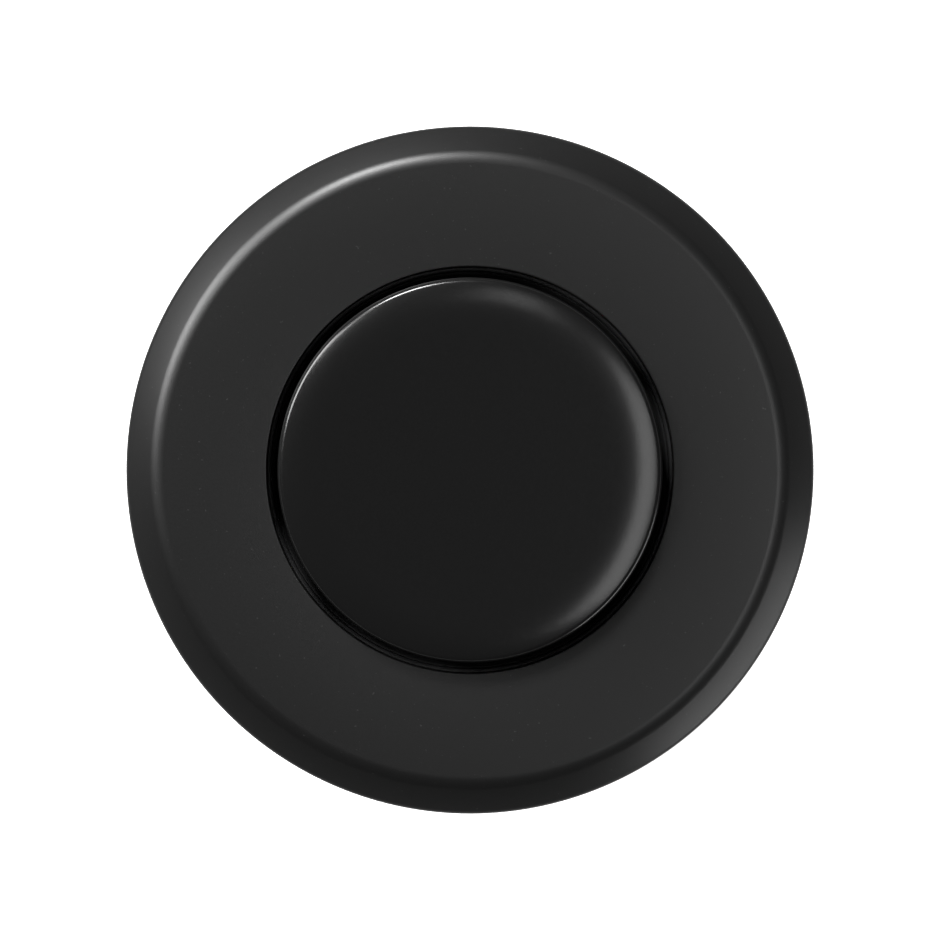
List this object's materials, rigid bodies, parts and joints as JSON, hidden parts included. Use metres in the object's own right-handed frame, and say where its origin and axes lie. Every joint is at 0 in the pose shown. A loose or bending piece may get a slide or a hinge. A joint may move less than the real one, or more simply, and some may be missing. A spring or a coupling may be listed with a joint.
{
  "type": "waste disposer air switch",
  "caption": "Round worktop push button in a bevelled plate, on a threaded shank with clamp nut, return spring, bellows and hose barb, that switches a waste disposer by air.",
  "frame": {"origin": "on the axis, on the face of the gasket that rests on the worktop", "axes": "+Z along the axis, up out of the worktop towards the button; +X and +Y lie in the worktop's face"},
  "size_m": [0.0508, 0.0508, 0.0914],
  "materials": {
    "matte_black_plate": "matte black powder paint on a metal plate",
    "gloss_black_button": "smooth gloss black paint on a drawn metal cap",
    "black_rubber": "matte moulded rubber",
    "grey_rubber": "matte dark grey rubber",
    "pale_rubber": "satin pale grey bellows rubber",
    "black_nylon": "black glass-filled nylon with a fine moulded grain",
    "white_acetal": "natural white acetal",
    "foam_tape": "matte foam tape",
    "steel": "bright stainless steel",
    "zinc_steel": "bright zinc-plated steel",
    "brass": "turned brass"
  },
  "bodies": {
    "housing": {"trim_flange": "matte_black_plate", "trim_o_ring": "black_rubber", "flange_gasket": "black_rubber", "wiper_ring": "black_rubber", "barrel": "black_nylon", "stop_ring": "steel", "return_spring": "steel", "bellows": "pale_rubber", "spring_seat": "steel", "base_cap": "black_nylon", "base_seal": "black_rubber", "barb_washer": "black_rubber", "hose_barb": "brass"},
    "button": {"button_cap": "gloss_black_button", "cap_tape": "foam_tape", "plunger": "white_acetal", "plunger_seal": "black_rubber", "push_plate": "white_acetal"},
    "clamp_washers": {"clamp_gasket": "grey_rubber", "slip_washer": "zinc_steel"},
    "nut": {"lock_nut": "black_nylon"}
  },
  "joints": [
    {"name": "button_press", "type": "slide", "parent": "housing", "child": "button", "axis": [0, 0, -1], "range_m": [0, 0.005], "stiffness_N_per_m": 1200, "springref_m": -0.001, "deforming": ["return_spring", "bellows"]},
    {"name": "clamp_travel", "type": "slide", "parent": "housing", "child": "clamp_washers", "axis": [0, 0, 1], "range_m": [-0.0075, 0.027]},
    {"name": "nut_turn", "type": "hinge", "parent": "clamp_washers", "child": "nut", "pos_m": [0, 0, -0.0383], "axis": [0, 0, 1], "range_deg": [-1805, 6485]}
  ],
  "couplings": [
    {"joint": "nut_turn", "follows": "clamp_travel", "rad_per_m": 4188.8}
  ]
}
